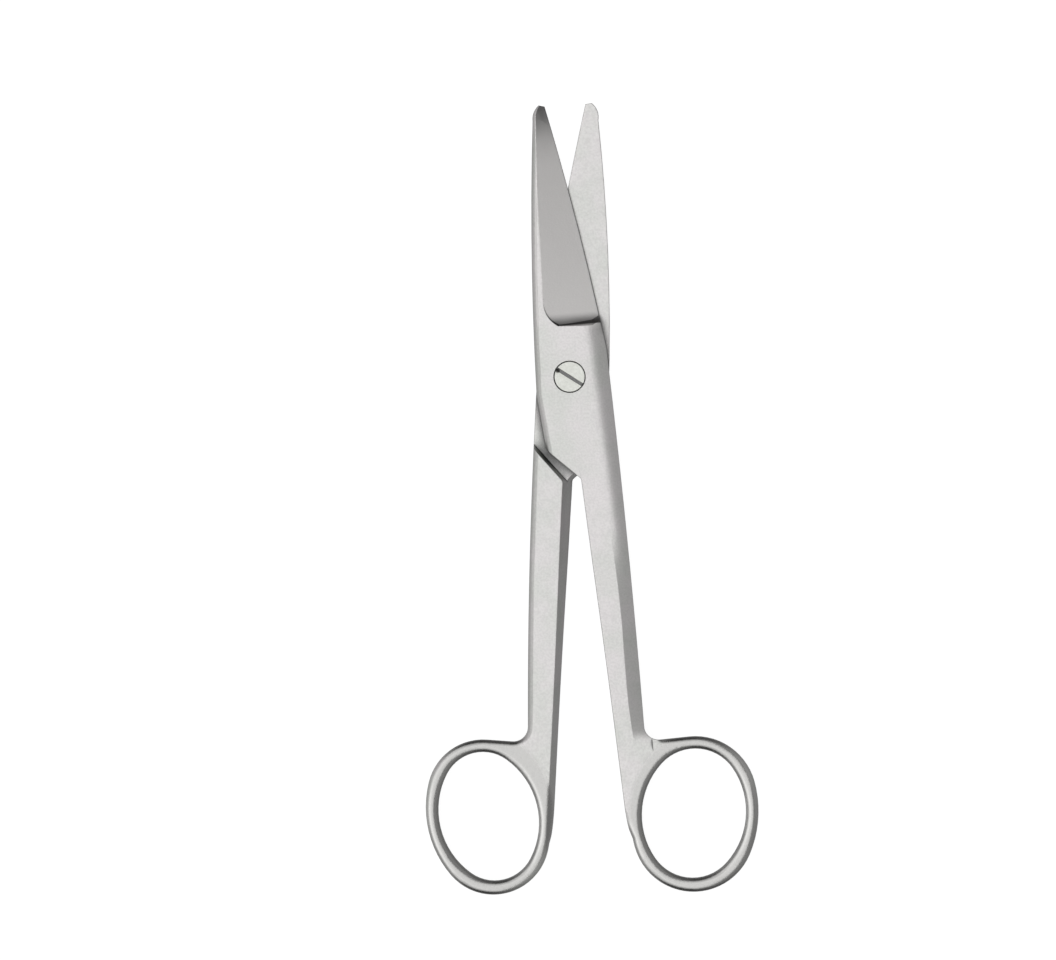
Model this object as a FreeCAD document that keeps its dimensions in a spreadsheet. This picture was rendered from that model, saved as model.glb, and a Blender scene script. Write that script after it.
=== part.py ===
"""Straight dissecting scissors with blunt tips: two forged halves on a slotted pivot screw.

Each half is built in its own frame, closed: blade along +Y, cutting edge and finger ring
towards +X, outer face towards +Z and the shear face at Z = 0, with the pivot axis on Z.
The front half is then opened to the left, and the rear half is turned over and opened to
the right.  The scissors lie on the rear half's outer face, at Z = 0.
"""

import FreeCAD
import Part
import Sketcher

import math
import os

SHEET = "Sizes"
FRONT = "front"
REAR = "rear"

# How many spans there are between the sections of the ground bevel and of the outer facet.
BEVEL_SPANS = 4
FACET_SPANS = 7

# Cuts reach this many times as far as the metal that they take away.
OVERRUN = 2

# Width of the stock beside the parting face, in rim roundings, so that the parting takes them off.
STOCK_ROUNDS = 1.5

# Places closer than this count as the same one, on an upright or level edge and on a slanting one.
SAME_PLACE = 1e-4
SAME_SLANT = 0.02
SAME_VOLUME = 1e-6

# Sizes that both halves and the screw share: millimetres and degrees.
SHARED = {
    # Thickness of one half at the joint, and the air between the two lap faces.
    "lap_thickness": 2.9,
    "lap_gap": 0.05,
    # Blade: how far the outer face stays level above the pivot, and how thin it ends.
    "level_top": 9.0,
    "tip_thickness": 1.5,
    "tip_height": 60.0,
    # Shank and ring: where the faces start and end to draw in, and half their depth below.
    "level_bottom": -16.0,
    "level_ring": -75.0,
    "ring_half_depth": 1.85,
    # Parting face between the shanks, and where its stock leaves the ring's rim.
    "nest_slant": 20.0,
    "nest_lean": 1.15,
    "nest_offset": 0.72,
    "nest_clearance": 0.04,
    "stock_turn": 5.0,
    # Lap: the crotch at its end, the slope of that end, its free side and its stock.
    "crotch_drop": 21.9,
    "lap_slope": 45.6,
    "crotch_round": 1.0,
    "lap_side_y": -15.0,
    "lap_over": 4.4,
    "lap_into_shank": 1.0,
    # Shoulder of each half, which stands clear of the other half's lap.
    "shoulder_slope": 44.0,
    "shoulder_clearance": 0.45,
    "shoulder_round": 1.1,
    # Finger ring: the metal beside the hole, at the hole's sides and at its ends.
    "band_side": 2.5,
    "band_end": 2.75,
    "band_corner": 3.35,
    "band_shift": 0.1,
    "band_drop": 0.17,
    "web_round": 3.1,
    "ring_round": 1.15,
    # Outer edge: a broad rounding at the joint that narrows to a flat facet on the shank.
    "facet_top": 16.0,
    "facet_width_joint": 5.6,
    "facet_drop_joint": 1.9,
    "facet_bulge_joint": 0.5,
    "facet_width_shank": 3.0,
    "facet_drop_shank": 1.35,
    "facet_bulge_shank": 0.1,
    "facet_narrows_at": -2.0,
    "facet_narrowed_at": -48.0,
    "facet_end": -71.0,
    "facet_over": 1.5,
    "facet_lift": 0.02,
    "runout_width": 1.9,
    "runout_rise": 0.55,
    "runout_bulge": 0.05,
    "spine_round": 1.2,
    # Ground bevel: the metal left at the cutting edge, and the step that it ends in.
    "edge_land": 0.3,
    "step_height": 10.9,
    "step_dip": 0.7,
    "step_rise": 1.4,
    "step_rise_width": 2.4,
    "step_corner_width": 2.9,
    "step_corner_height": 6.1,
    "step_corner_bulge": 1.0,
    # Hollow wall of the step: how far it has come out half way down and at its foot.
    "cove_middle": 0.85,
    "cove_foot": 2.9,
    # How far the grinding reaches past the blade's faces and past its edges.
    "cove_over": 0.3,
    "bevel_over": 3.0,
    # Pivot screw and its holes.
    "head_radius": 3.3,
    "head_depth": 1.3,
    "head_gap": 0.13,
    "head_seat_gap": 0.04,
    "body_radius": 2.0,
    "body_gap": 0.05,
    "thread_radius": 1.7,
    "slot_width": 0.7,
    "slot_depth": 0.9,
    "slot_turn": -32.0,
    "head_chamfer": 0.12,
}

# Sizes of each half: (front, rear).
PER_HALF = {
    "opening": (6.1, 4.0),
    # Blunt tip.
    "tip_spine_x": (-2.05, -2.33),
    "tip_spine_y": (55.2, 55.3),
    "tip_top_x": (-0.45, -0.65),
    "tip_top_y": (58.45, 58.85),
    "tip_corner_x": (0.85, 0.7),
    "tip_corner_y": (58.1, 58.5),
    "tip_bulge": (0.45, 0.55),
    # Cutting edge, from the tip to the joint's side.
    "edge_root_x": (8.5, 6.95),
    "edge_root_y": (5.0, 5.0),
    "edge_bulge": (0.55, 0.35),
    # Outer side of the shank, down to the web's corner.
    "shank_outer_x": (7.85, 3.4),
    "shank_bulge": (0.42, 0.72),
    # Spine and the lap's free side.
    "spine_root_x": (-7.4, -8.65),
    "spine_root_y": (-3.0, -3.0),
    "spine_bulge": (0.62, 1.0),
    "lap_side_x": (-6.5, -7.3),
    # Finger hole: centre, half length, half width, end radius and lean.
    "ring_x": (16.58, 10.68),
    "ring_y": (-95.63, -94.97),
    "ring_half_length": (13.87, 13.94),
    "ring_half_width": (11.15, 10.59),
    "ring_end_radius": (9.7, 8.6),
    "ring_lean": (9.8, 17.6),
    # Ridge between the spine and the ground bevel.
    "ridge_tip_x": (-1.9, -2.1),
    "ridge_root_x": (-4.25, -4.9),
}


class Size:
    """A number with the expression that works it out from the sheet."""

    def __init__(self, text, number):
        self.text = text
        self.number = number

    def _join(self, sign, other, number):
        return Size("({} {} {})".format(self.text, sign, other.text), number)

    def __add__(self, other):
        other = as_size(other)
        return self._join("+", other, self.number + other.number)

    def __sub__(self, other):
        other = as_size(other)
        return self._join("-", other, self.number - other.number)

    def __mul__(self, other):
        other = as_size(other)
        return self._join("*", other, self.number * other.number)

    def __truediv__(self, other):
        other = as_size(other)
        return self._join("/", other, self.number / other.number)

    def __neg__(self):
        return self * -1


def as_size(value):
    """Wraps a plain number as a Size."""
    if isinstance(value, Size):
        return value
    return Size(repr(float(value)), float(value))


def cosine(angle):
    """Cosine of an angle in degrees."""
    return Size("cos({} * 1 deg)".format(angle.text), math.cos(math.radians(angle.number)))


def sine(angle):
    """Sine of an angle in degrees."""
    return Size("sin({} * 1 deg)".format(angle.text), math.sin(math.radians(angle.number)))


def tangent(angle):
    """Tangent of an angle in degrees."""
    return sine(angle) / cosine(angle)


def fill_sheet(document):
    """Writes every driving size into the sheet, one alias to a row."""
    sheet = document.addObject("Spreadsheet::Sheet", SHEET)
    sizes = dict(SHARED)
    for name, (front_value, rear_value) in PER_HALF.items():
        sizes[FRONT + "_" + name] = front_value
        sizes[REAR + "_" + name] = rear_value
    for row, (name, value) in enumerate(sizes.items(), start=1):
        sheet.set("A{}".format(row), name)
        sheet.set("B{}".format(row), str(value))
        sheet.setAlias("B{}".format(row), name)
    document.recompute()
    return sheet


class Corner:
    """A sketch corner, and how the edge from it to the next corner runs.

    The edge is straight, or an arc given by its bulge (its rise over the chord) or by its
    radius; side is +1 where the arc lies left of the way along the outline, -1 right.
    """

    def __init__(self, x, y, bulge=None, radius=None, side=1):
        self.x = as_size(x)
        self.y = as_size(y)
        self.bulge = bulge
        self.radius = radius
        self.side = side

    def point(self):
        return FreeCAD.Vector(self.x.number, self.y.number, 0)


def arc_radius(start, end):
    """Radius of the arc from one corner to the next."""
    if start.radius is not None:
        return start.radius
    across = end.x - start.x
    along = end.y - start.y
    chord_squared = across * across + along * along
    return chord_squared / (start.bulge * 8) + start.bulge / 2


def arc_edge(start, end):
    """The arc from one corner to the next, drawn anticlockwise."""
    chord = end.point() - start.point()
    radius = arc_radius(start, end).number
    rise = radius - math.sqrt(radius ** 2 - (chord.Length / 2) ** 2)
    normal = FreeCAD.Vector(-chord.y, chord.x, 0).normalize()
    middle = start.point() + chord * 0.5 + normal * (rise * start.side)
    if start.side > 0:
        return Part.Arc(end.point(), middle, start.point())
    return Part.Arc(start.point(), middle, end.point())


def draw_outline(sketch, corners):
    """Draws one closed outline whose corners and arcs follow the sheet."""
    first = sketch.GeometryCount
    starts = []
    for index, start in enumerate(corners):
        end = corners[(index + 1) % len(corners)]
        if start.bulge is None and start.radius is None:
            sketch.addGeometry(Part.LineSegment(start.point(), end.point()), False)
            starts.append(1)
        else:
            sketch.addGeometry(arc_edge(start, end), False)
            starts.append(2 if start.side > 0 else 1)
    for index, start in enumerate(corners):
        following = (index + 1) % len(corners)
        edge = first + index
        sketch.addConstraint(Sketcher.Constraint(
            "Coincident", edge, 3 - starts[index], first + following, starts[following]))
        for kind, place in (("DistanceX", start.x), ("DistanceY", start.y)):
            number = sketch.addConstraint(Sketcher.Constraint(
                kind, -1, 1, edge, starts[index], place.number))
            sketch.setExpression("Constraints[{}]".format(number), place.text)
        if start.bulge is not None or start.radius is not None:
            radius = arc_radius(start, corners[following])
            number = sketch.addConstraint(Sketcher.Constraint("Radius", edge, radius.number))
            sketch.setExpression("Constraints[{}]".format(number), radius.text)


class Oval:
    """A four-centre oval: two end arcs and two side arcs that meet smoothly."""

    def __init__(self, x, y, half_length, half_width, end_radius, lean):
        self.x = x
        self.y = y
        self.lean = lean
        self.end_radius = end_radius
        self.end_offset = half_length - end_radius
        swell = self.end_offset * self.end_offset + half_width * half_width - end_radius * end_radius
        self.side_radius = swell / ((half_width - end_radius) * 2)
        self.side_offset = self.side_radius - half_width
        self.reach = self.side_radius - end_radius

    def place(self, across, along):
        """A point given across and along the leaning oval."""
        x = self.x + across * cosine(self.lean) + along * sine(self.lean)
        y = self.y + along * cosine(self.lean) - across * sine(self.lean)
        return x, y

    def joint(self, right, top):
        """Where a side arc meets an end arc."""
        across = self.side_offset * (self.end_radius / self.reach) * right
        along = (self.end_offset * (self.end_radius / self.reach) + self.end_offset) * top
        return self.place(across, along)

    def corners(self):
        """The whole oval, clockwise from its upper right joint."""
        upper_right = self.joint(1, 1)
        lower_right = self.joint(1, -1)
        lower_left = self.joint(-1, -1)
        upper_left = self.joint(-1, 1)
        return [
            Corner(*upper_right, radius=self.side_radius),
            Corner(*lower_right, radius=self.end_radius),
            Corner(*lower_left, radius=self.side_radius),
            Corner(*upper_left, radius=self.end_radius),
        ]


def draw_circle(sketch, radius):
    """Draws a circle on the pivot axis."""
    axis = FreeCAD.Vector(0, 0, 1)
    circle = sketch.addGeometry(Part.Circle(FreeCAD.Vector(), axis, radius.number), False)
    sketch.addConstraint(Sketcher.Constraint("Coincident", circle, 3, -1, 1))
    number = sketch.addConstraint(Sketcher.Constraint("Radius", circle, radius.number))
    sketch.setExpression("Constraints[{}]".format(number), radius.text)


def origin_plane(body, role):
    """One of the body's own origin planes."""
    for feature in body.Origin.OriginFeatures:
        if feature.Role == role:
            return feature
    raise ValueError("no origin plane " + role)


def new_sketch(body, name, role, *outlines, height=None):
    """A sketch on an origin plane of its body, raised along that plane's normal."""
    sketch = body.newObject("Sketcher::SketchObject", name)
    sketch.AttachmentSupport = [(origin_plane(body, role), "")]
    sketch.MapMode = "FlatFace"
    if height is not None:
        sketch.AttachmentOffset = FreeCAD.Placement(FreeCAD.Vector(0, 0, height.number), FreeCAD.Rotation())
        sketch.setExpression("AttachmentOffset.Base.z", height.text)
    for corners in outlines:
        draw_outline(sketch, corners)
    return sketch


def set_length(feature, prop, value):
    """Sets a feature's length and binds it to the sheet."""
    setattr(feature, prop, value.number)
    feature.setExpression(prop, value.text)


def pad(body, name, sketch, length, sides="One side"):
    """Raises a sketch to a solid."""
    feature = body.newObject("PartDesign::Pad", name)
    feature.Profile = sketch
    feature.SideType = sides
    set_length(feature, "Length", length)
    return finished(feature)


def pocket(body, name, sketch, length, sides="Symmetric", slant=None):
    """Cuts a sketch through the body, upright or along a slanting direction."""
    feature = body.newObject("PartDesign::Pocket", name)
    feature.Profile = sketch
    feature.SideType = sides
    if slant is not None:
        feature.UseCustomVector = True
        feature.AlongSketchNormal = True
        feature.Direction = FreeCAD.Vector(-slant.number, 0, 1)
        feature.setExpression("Direction.x", "-({})".format(slant.text))
    set_length(feature, "Length", length)
    return finished(feature)


def finished(feature):
    """Recomputes and makes sure that the feature changed the solid and left it whole."""
    feature.Document.recompute()
    base = feature.BaseFeature
    if "Invalid" in feature.State or "Error" in feature.State or not feature.Shape.isValid():
        raise RuntimeError("{} has failed".format(feature.Name))
    if base is not None and abs(base.Shape.Volume - feature.Shape.Volume) < SAME_VOLUME:
        raise RuntimeError("{} changes nothing".format(feature.Name))
    return feature


def edges_where(shape, test):
    """Names of the edges that pass a test."""
    return ["Edge{}".format(number) for number, edge in enumerate(shape.Edges, start=1) if test(edge)]


def middle_of(edge):
    """The point half way along an edge."""
    first, last = edge.ParameterRange
    return edge.valueAt((first + last) / 2)


def fillet(body, name, base, edges, radius):
    """Rounds the named edges."""
    feature = body.newObject("PartDesign::Fillet", name)
    feature.Base = (base, edges)
    set_length(feature, "Radius", radius)
    return finished(feature)


class Half:
    """One half of the scissors, in its own closed frame."""

    def __init__(self, document, sheet, side):
        self.sheet = sheet
        self.side = side
        self.hand = 1 if side == FRONT else -1
        self.body = document.addObject("PartDesign::Body", side + "_half")
        self.body.Label = side + "_half"
        self.depth = self.shared("lap_thickness")
        self.slant = tangent(self.shared("nest_slant"))
        self.hole = Oval(
            self.own("ring_x"), self.own("ring_y"), self.own("ring_half_length"),
            self.own("ring_half_width"), self.own("ring_end_radius"), self.own("ring_lean"))
        self.rim = Oval(
            self.own("ring_x") + self.shared("band_shift"), self.own("ring_y") - self.shared("band_drop"),
            self.own("ring_half_length") + self.shared("band_end"),
            self.own("ring_half_width") + self.shared("band_side"),
            self.own("ring_end_radius") + self.shared("band_corner"), self.own("ring_lean"))

    def shared(self, name):
        """A size that both halves have."""
        return Size("{}.{}".format(SHEET, name), self.sheet.get(name))

    def own(self, name):
        """A size of this half alone."""
        return self.shared(self.side + "_" + name)

    def label(self, name):
        """The name of one of this half's features."""
        return self.side + "_" + name

    def beyond(self):
        """A distance from the pivot axis that lies well past the ring's side."""
        return (self.own("ring_x") + self.own("ring_half_length")) * OVERRUN

    def below(self):
        """A place on the Y axis that lies well below the ring."""
        return self.own("ring_y") - (self.own("ring_half_length") + self.shared("band_end")) * OVERRUN

    def through(self):
        """Length of a cut that goes right through, half of it to each side of the shear face."""
        return self.depth * (2 * OVERRUN)

    def nest_x(self, y):
        """Where the parting face between the shanks lies, half way through."""
        lean = tangent(self.shared("nest_lean"))
        return (self.shared("nest_offset") - lean * y) * self.hand + self.shared("nest_clearance") / 2

    def ring_top(self):
        """The highest point of the ring's rim."""
        x, y = self.rim.place(as_size(0), self.rim.end_offset)
        return x, y + self.rim.end_radius

    def ring_leaving(self):
        """Where the stock beside the parting face leaves the ring's rim."""
        turn = self.shared("stock_turn")
        x, y = self.rim.place(self.rim.side_offset, as_size(0))
        return x - self.rim.side_radius * cosine(turn), y - self.rim.side_radius * sine(turn)

    def lower_outline(self):
        """Shank, web and ring in plan, clockwise, with stock left beside the parting face."""
        top_x, top_y = self.ring_top()
        leave_x, leave_y = self.ring_leaving()
        root_y = self.own("edge_root_y")
        stock = self.slant * self.depth + self.shared("ring_round") * STOCK_ROUNDS
        level_y = self.own("ring_y") + self.own("ring_half_length") / 2
        return [
            Corner(self.own("edge_root_x"), root_y, bulge=self.own("shank_bulge")),
            Corner(self.own("shank_outer_x"), top_y),
            Corner(top_x, top_y, radius=self.rim.end_radius),
            Corner(*self.rim.joint(1, 1), radius=self.rim.side_radius),
            Corner(*self.rim.joint(1, -1), radius=self.rim.end_radius),
            Corner(*self.rim.joint(-1, -1), radius=self.rim.side_radius),
            Corner(leave_x, leave_y),
            Corner(self.nest_x(level_y) - stock, level_y),
            Corner(self.nest_x(root_y) - stock, root_y),
        ]

    def thinned_blade(self):
        """Cut profile over the blade: an arc that leaves the level and falls to the tip."""
        start_y = self.shared("level_top")
        end_y = self.shared("tip_height")
        length = end_y - start_y
        fall = self.depth - self.shared("tip_thickness")
        beyond = self.depth * OVERRUN
        return [
            Corner(start_y, self.depth, radius=(length * length + fall * fall) / (fall * 2)),
            Corner(end_y, self.shared("tip_thickness")),
            Corner(end_y, beyond),
            Corner(start_y, beyond),
        ]

    def drawn_in(self, up):
        """Cut profile above or below the shank: two even arcs down to the ring's level face."""
        start_y = self.shared("level_bottom")
        level_y = self.shared("level_ring")
        end_y = self.below()
        height = self.shared("ring_half_depth")
        length = start_y - level_y
        fall = self.depth - height
        radius = (length * length + fall * fall) / (fall * 4)
        beyond = self.depth * (OVERRUN * up)
        return [
            Corner(start_y, self.depth * up, radius=radius, side=-up),
            Corner((start_y + level_y) / 2, (self.depth + height) / 2 * up, radius=radius, side=up),
            Corner(level_y, height * up),
            Corner(end_y, height * up),
            Corner(end_y, beyond),
            Corner(start_y, beyond),
        ]

    def height_at(self, y):
        """Height of the outer face over the shank, from the same two arcs as its cut."""
        fall = self.depth - self.shared("ring_half_depth")
        share = (self.shared("level_bottom") - y) / (self.shared("level_bottom") - self.shared("level_ring"))
        rest = as_size(1) - share
        if share.number <= 0:
            return self.depth
        if share.number <= 0.5:
            return self.depth - fall * 2 * share * share
        if share.number <= 1:
            return self.shared("ring_half_depth") + fall * 2 * rest * rest
        return self.shared("ring_half_depth")

    def side_x(self, y):
        """The shank's outer side at a place along it."""
        top_x, top_y = self.ring_top()
        root_y = self.own("edge_root_y")
        share = (root_y - y) / (root_y - top_y)
        chord = self.own("edge_root_x") + (self.own("shank_outer_x") - self.own("edge_root_x")) * share
        return chord + self.own("shank_bulge") * 4 * share * (as_size(1) - share)

    def blade_outline(self):
        """Blade and lap in plan, clockwise from the spine's end."""
        root_x = self.own("edge_root_x")
        root_y = self.own("edge_root_y")
        inside_x = root_x / 2
        level_y = self.shared("level_bottom")
        nest_side_x = self.nest_x(level_y) - self.slant * self.depth
        low_y = -(self.shared("crotch_drop") + self.shared("lap_over"))
        return [
            Corner(self.own("tip_spine_x"), self.own("tip_spine_y"), bulge=self.own("tip_bulge")),
            Corner(self.own("tip_top_x"), self.own("tip_top_y")),
            Corner(self.own("tip_corner_x"), self.own("tip_corner_y"), bulge=self.own("edge_bulge")),
            Corner(root_x, root_y),
            Corner(inside_x, root_y - self.shared("lap_into_shank")),
            Corner(inside_x, level_y),
            Corner(nest_side_x, level_y),
            Corner(nest_side_x, low_y),
            Corner(self.own("lap_side_x"), low_y),
            Corner(self.own("lap_side_x"), self.shared("lap_side_y")),
            Corner(self.own("spine_root_x"), self.own("spine_root_y"), bulge=self.own("spine_bulge")),
        ]

    def blade_height_at(self, y):
        """Height of the outer face over the blade, from the same arc as its cut."""
        length = self.shared("tip_height") - self.shared("level_top")
        share = (y - self.shared("level_top")) / length
        return self.depth - (self.depth - self.shared("tip_thickness")) * share * share

    def edge_x(self, y):
        """The cutting edge at a place along the blade."""
        root_x = self.own("edge_root_x")
        root_y = self.own("edge_root_y")
        share = (y - root_y) / (self.own("tip_corner_y") - root_y)
        chord = root_x + (self.own("tip_corner_x") - root_x) * share
        return chord + self.own("edge_bulge") * 4 * share * (as_size(1) - share)

    def ridge_x(self, y):
        """The ridge between the spine strip and the ground bevel."""
        root_y = self.shared("step_height")
        share = (y - root_y) / (self.own("tip_spine_y") - root_y)
        return self.own("ridge_root_x") + (self.own("ridge_tip_x") - self.own("ridge_root_x")) * share

    def bevel_outline(self, body, name, height, lean):
        """The ground stretch in plan at one height, where its hollow end wall has come out by lean."""
        step = self.shared("step_height") + lean
        over = self.shared("bevel_over")
        right_x = self.own("edge_root_x") + over
        left_x = self.own("ridge_root_x") - over
        dip_y = step - self.shared("step_dip")
        corner_y = step + self.shared("step_corner_height")
        corner_x = self.ridge_x(self.shared("step_height") + self.shared("step_corner_height")) + lean
        top_y = self.own("tip_top_y") + over
        return new_sketch(body, self.label(name), "XY_Plane", [
            Corner(right_x, dip_y + self.shared("step_rise")),
            Corner(self.own("edge_root_x") - self.shared("step_rise_width"), dip_y),
            Corner(self.own("ridge_root_x") + self.shared("step_corner_width") + lean, step,
                   bulge=self.shared("step_corner_bulge")),
            Corner(corner_x, corner_y),
            Corner(left_x, corner_y),
            Corner(left_x, top_y),
            Corner(right_x, top_y),
        ], height=height)

    def bevel_section(self, body, name, y):
        """Section across the blade of the metal that stays under the ground bevel."""
        ridge_x = self.ridge_x(y)
        edge_x = self.edge_x(y)
        land = self.shared("edge_land")
        over = self.shared("bevel_over")
        height = self.blade_height_at(y)
        rise = (height - land) / (edge_x - ridge_x)
        return new_sketch(body, self.label(name), "XZ_Plane", [
            Corner(ridge_x - over, height + rise * over),
            Corner(edge_x + over, land - rise * over),
            Corner(edge_x + over, -(over * OVERRUN)),
            Corner(ridge_x - over, -(over * OVERRUN)),
        ], height=-y)

    def facet_sizes(self, y):
        """Width, drop and bulge of the outer facet, easing from the joint's to the shank's."""
        start_y = self.shared("facet_narrows_at")
        share = (start_y - y) / (start_y - self.shared("facet_narrowed_at"))
        if share.number <= 0:
            share = as_size(0)
        elif share.number >= 1:
            share = as_size(1)
        eased = share * share * (as_size(3) - share * 2)
        sizes = []
        for kind in ("width", "drop", "bulge"):
            joint = self.shared("facet_{}_joint".format(kind))
            shank = self.shared("facet_{}_shank".format(kind))
            sizes.append(joint + (shank - joint) * eased)
        return sizes

    def facet_section(self, name, y, sizes):
        """Section across the shank of what the rounding or the facet takes away."""
        width, drop, bulge = sizes
        height = self.height_at(y)
        side_x = self.side_x(y)
        over = self.shared("facet_over")
        return new_sketch(self.body, self.label(name), "XZ_Plane", [
            Corner(side_x - width, height + self.shared("facet_lift"), bulge=bulge),
            Corner(side_x + over, height - drop - drop / width * over),
            Corner(side_x + over, height + over),
            Corner(side_x - width, height + over),
        ], height=-y)


def shape_shank_and_ring(half):
    """Shank, web and finger ring, drawn in towards the ring and rounded along their edges."""
    body = half.body
    outline = new_sketch(body, half.label("lower_outline"), "XY_Plane", half.lower_outline())
    pad(body, half.label("shank_and_ring"), outline, half.depth * 2, sides="Symmetric")
    level_places = [half.shared("level_bottom").number, half.shared("level_ring").number]
    level_places.append(sum(level_places) / 2)
    profile = new_sketch(
        body, half.label("ring_profile"), "YZ_Plane", half.drawn_in(1), half.drawn_in(-1))
    pocket(body, half.label("draw_in"), profile, half.beyond() * 2)
    hole_outline = new_sketch(body, half.label("hole_outline"), "XY_Plane", half.hole.corners())
    hole = pocket(body, half.label("finger_hole"), hole_outline, half.through())

    corner_x = half.own("shank_outer_x").number
    corner_y = half.ring_top()[1].number
    upright = edges_where(hole.Shape, lambda edge: (
        abs(middle_of(edge).x - corner_x) < SAME_PLACE and abs(middle_of(edge).y - corner_y) < SAME_PLACE))
    web = fillet(body, half.label("web_corner"), hole, upright, half.shared("web_round"))

    end = half.own("edge_root_y").number

    def is_rim(edge):
        middle = middle_of(edge)
        standing = edge.BoundBox.ZLength > half.depth.number
        at_level = any(abs(middle.y - y) < SAME_PLACE for y in level_places)
        across_face = at_level and edge.BoundBox.YLength < SAME_PLACE
        return not standing and not across_face and abs(middle.y - end) > SAME_PLACE

    return fillet(
        body, half.label("rim_rounding"), web, edges_where(web.Shape, is_rim), half.shared("ring_round"))


def shape_blade(half):
    """Blade and lap, thinned towards the tip and rounded along the spine."""
    body = half.body
    outline = new_sketch(body, half.label("blade_outline"), "XY_Plane", half.blade_outline())
    pad(body, half.label("blade_and_lap"), outline, half.depth)
    profile = new_sketch(body, half.label("blade_profile"), "YZ_Plane", half.thinned_blade())
    thinned = pocket(body, half.label("thinning"), profile, half.beyond() * 2)

    tip_x = half.own("tip_top_x").number
    tip_z = half.shared("tip_thickness").number
    low_y = half.shared("lap_side_y").number
    level_top = half.shared("level_top").number

    def is_spine(edge):
        middle = middle_of(edge)
        on_outer_face = edge.BoundBox.ZLength < tip_z and middle.z > tip_z / 2
        along = edge.BoundBox.YLength > SAME_PLACE
        beside_lap = low_y < middle.y < level_top and middle.x < half.own("lap_side_x").number
        beside_blade = middle.y > level_top and middle.x < tip_x
        return on_outer_face and along and (beside_lap or beside_blade)

    return fillet(
        body, half.label("spine_rounding"), thinned, edges_where(thinned.Shape, is_spine),
        half.shared("spine_round"))


def shape_facet(half):
    """Rounding and facet along the outer edge, running out where the shank meets the web."""
    body = half.body
    top_y = half.shared("facet_top")
    spacing = (top_y - half.shared("facet_end")) / FACET_SPANS
    sections = []
    for number in range(FACET_SPANS + 1):
        y = top_y - spacing * number
        sections.append(half.facet_section("facet_{}".format(number), y, half.facet_sizes(y)))
    runout = (half.shared("runout_width"), -half.shared("runout_rise"), half.shared("runout_bulge"))
    sections.append(half.facet_section("facet_runout", half.shared("facet_end") - spacing, runout))
    loft = body.newObject("PartDesign::SubtractiveLoft", half.label("facet"))
    loft.Profile = sections[0]
    loft.Sections = sections[1:]
    loft.Ruled = False
    return finished(loft)


def ground_stock(half, document):
    """The metal that grinding takes from the blade, as a solid of its own."""
    body = document.addObject("PartDesign::Body", half.label("ground_stock"))
    stock = body.newObject("PartDesign::AdditiveLoft", half.label("stock_block"))
    over = half.shared("cove_over")
    stock.Profile = half.bevel_outline(body, "stock_foot", -over, half.shared("cove_foot"))
    stock.Sections = [
        half.bevel_outline(body, "stock_middle", half.depth / 2, half.shared("cove_middle")),
        half.bevel_outline(body, "stock_head", half.depth + over, as_size(0)),
    ]
    stock.Ruled = False
    finished(stock)
    low_y = half.shared("step_height") - half.shared("bevel_over")
    spacing = (half.own("tip_top_y") + half.shared("bevel_over") - low_y) / BEVEL_SPANS
    sections = [
        half.bevel_section(body, "bevel_{}".format(number), low_y + spacing * number)
        for number in range(BEVEL_SPANS + 1)
    ]
    under = body.newObject("PartDesign::SubtractiveLoft", half.label("bevel_face"))
    under.Profile = sections[0]
    under.Sections = sections[1:]
    under.Ruled = False
    finished(under)
    return body


def grind_bevel(half, document):
    """Takes the ground stock from the blade."""
    ground = half.body.newObject("PartDesign::Boolean", half.label("ground_bevel"))
    ground.Type = "Cut"
    ground.setObjects([ground_stock(half, document)])
    return finished(ground)


def part_from_other(half):
    """Parts the half from the other one: slanting nest and lap end, crotch and shoulder."""
    body = half.body
    beyond = half.beyond()
    crotch_y = -half.shared("crotch_drop")
    crotch_x = half.nest_x(crotch_y)
    foot_y = half.below()
    run = crotch_x + beyond
    lap_rise = run * tangent(half.shared("lap_slope"))
    nest_outline = new_sketch(body, half.label("nest_outline"), "XY_Plane", [
        Corner(crotch_x, crotch_y),
        Corner(half.nest_x(foot_y), foot_y),
        Corner(-beyond, foot_y),
        Corner(-beyond, crotch_y + lap_rise),
    ])
    nest = pocket(body, half.label("nest"), nest_outline, half.through(), slant=half.slant)
    crotch = fillet(body, half.label("crotch"), nest, slanting_edge(half, nest, crotch_x, crotch_y),
                    half.shared("crotch_round"))

    foot = crotch_y - half.shared("shoulder_clearance")
    start_x = half.nest_x(foot)
    shoulder_rise = (beyond - start_x) * tangent(half.shared("shoulder_slope"))
    recess_outline = new_sketch(body, half.label("shoulder_outline"), "XY_Plane", [
        Corner(start_x, foot),
        Corner(-beyond, foot),
        Corner(-beyond, beyond + foot),
        Corner(beyond, beyond + foot),
        Corner(beyond, foot + shoulder_rise),
    ])
    recess = body.newObject("PartDesign::Pocket", half.label("recess"))
    recess.Profile = recess_outline
    recess.UseCustomVector = True
    recess.AlongSketchNormal = True
    recess.Direction = FreeCAD.Vector(half.slant.number, 0, -1)
    recess.setExpression("Direction.x", half.slant.text)
    set_length(recess, "Length", half.depth * OVERRUN)
    finished(recess)
    return fillet(body, half.label("shoulder"), recess, slanting_edge(half, recess, start_x, foot),
                  half.shared("shoulder_round"))


def slanting_edge(half, feature, x, y):
    """The slanting edge that passes through a place at the shear face's level."""
    slant = half.slant.number

    def lies_on(edge):
        if edge.BoundBox.ZLength < half.depth.number / 2:
            return False
        middle = middle_of(edge)
        foot_x = middle.x + slant * middle.z
        return abs(foot_x - x.number) < SAME_SLANT and abs(middle.y - y.number) < SAME_SLANT

    return edges_where(feature.Shape, lies_on)


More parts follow.
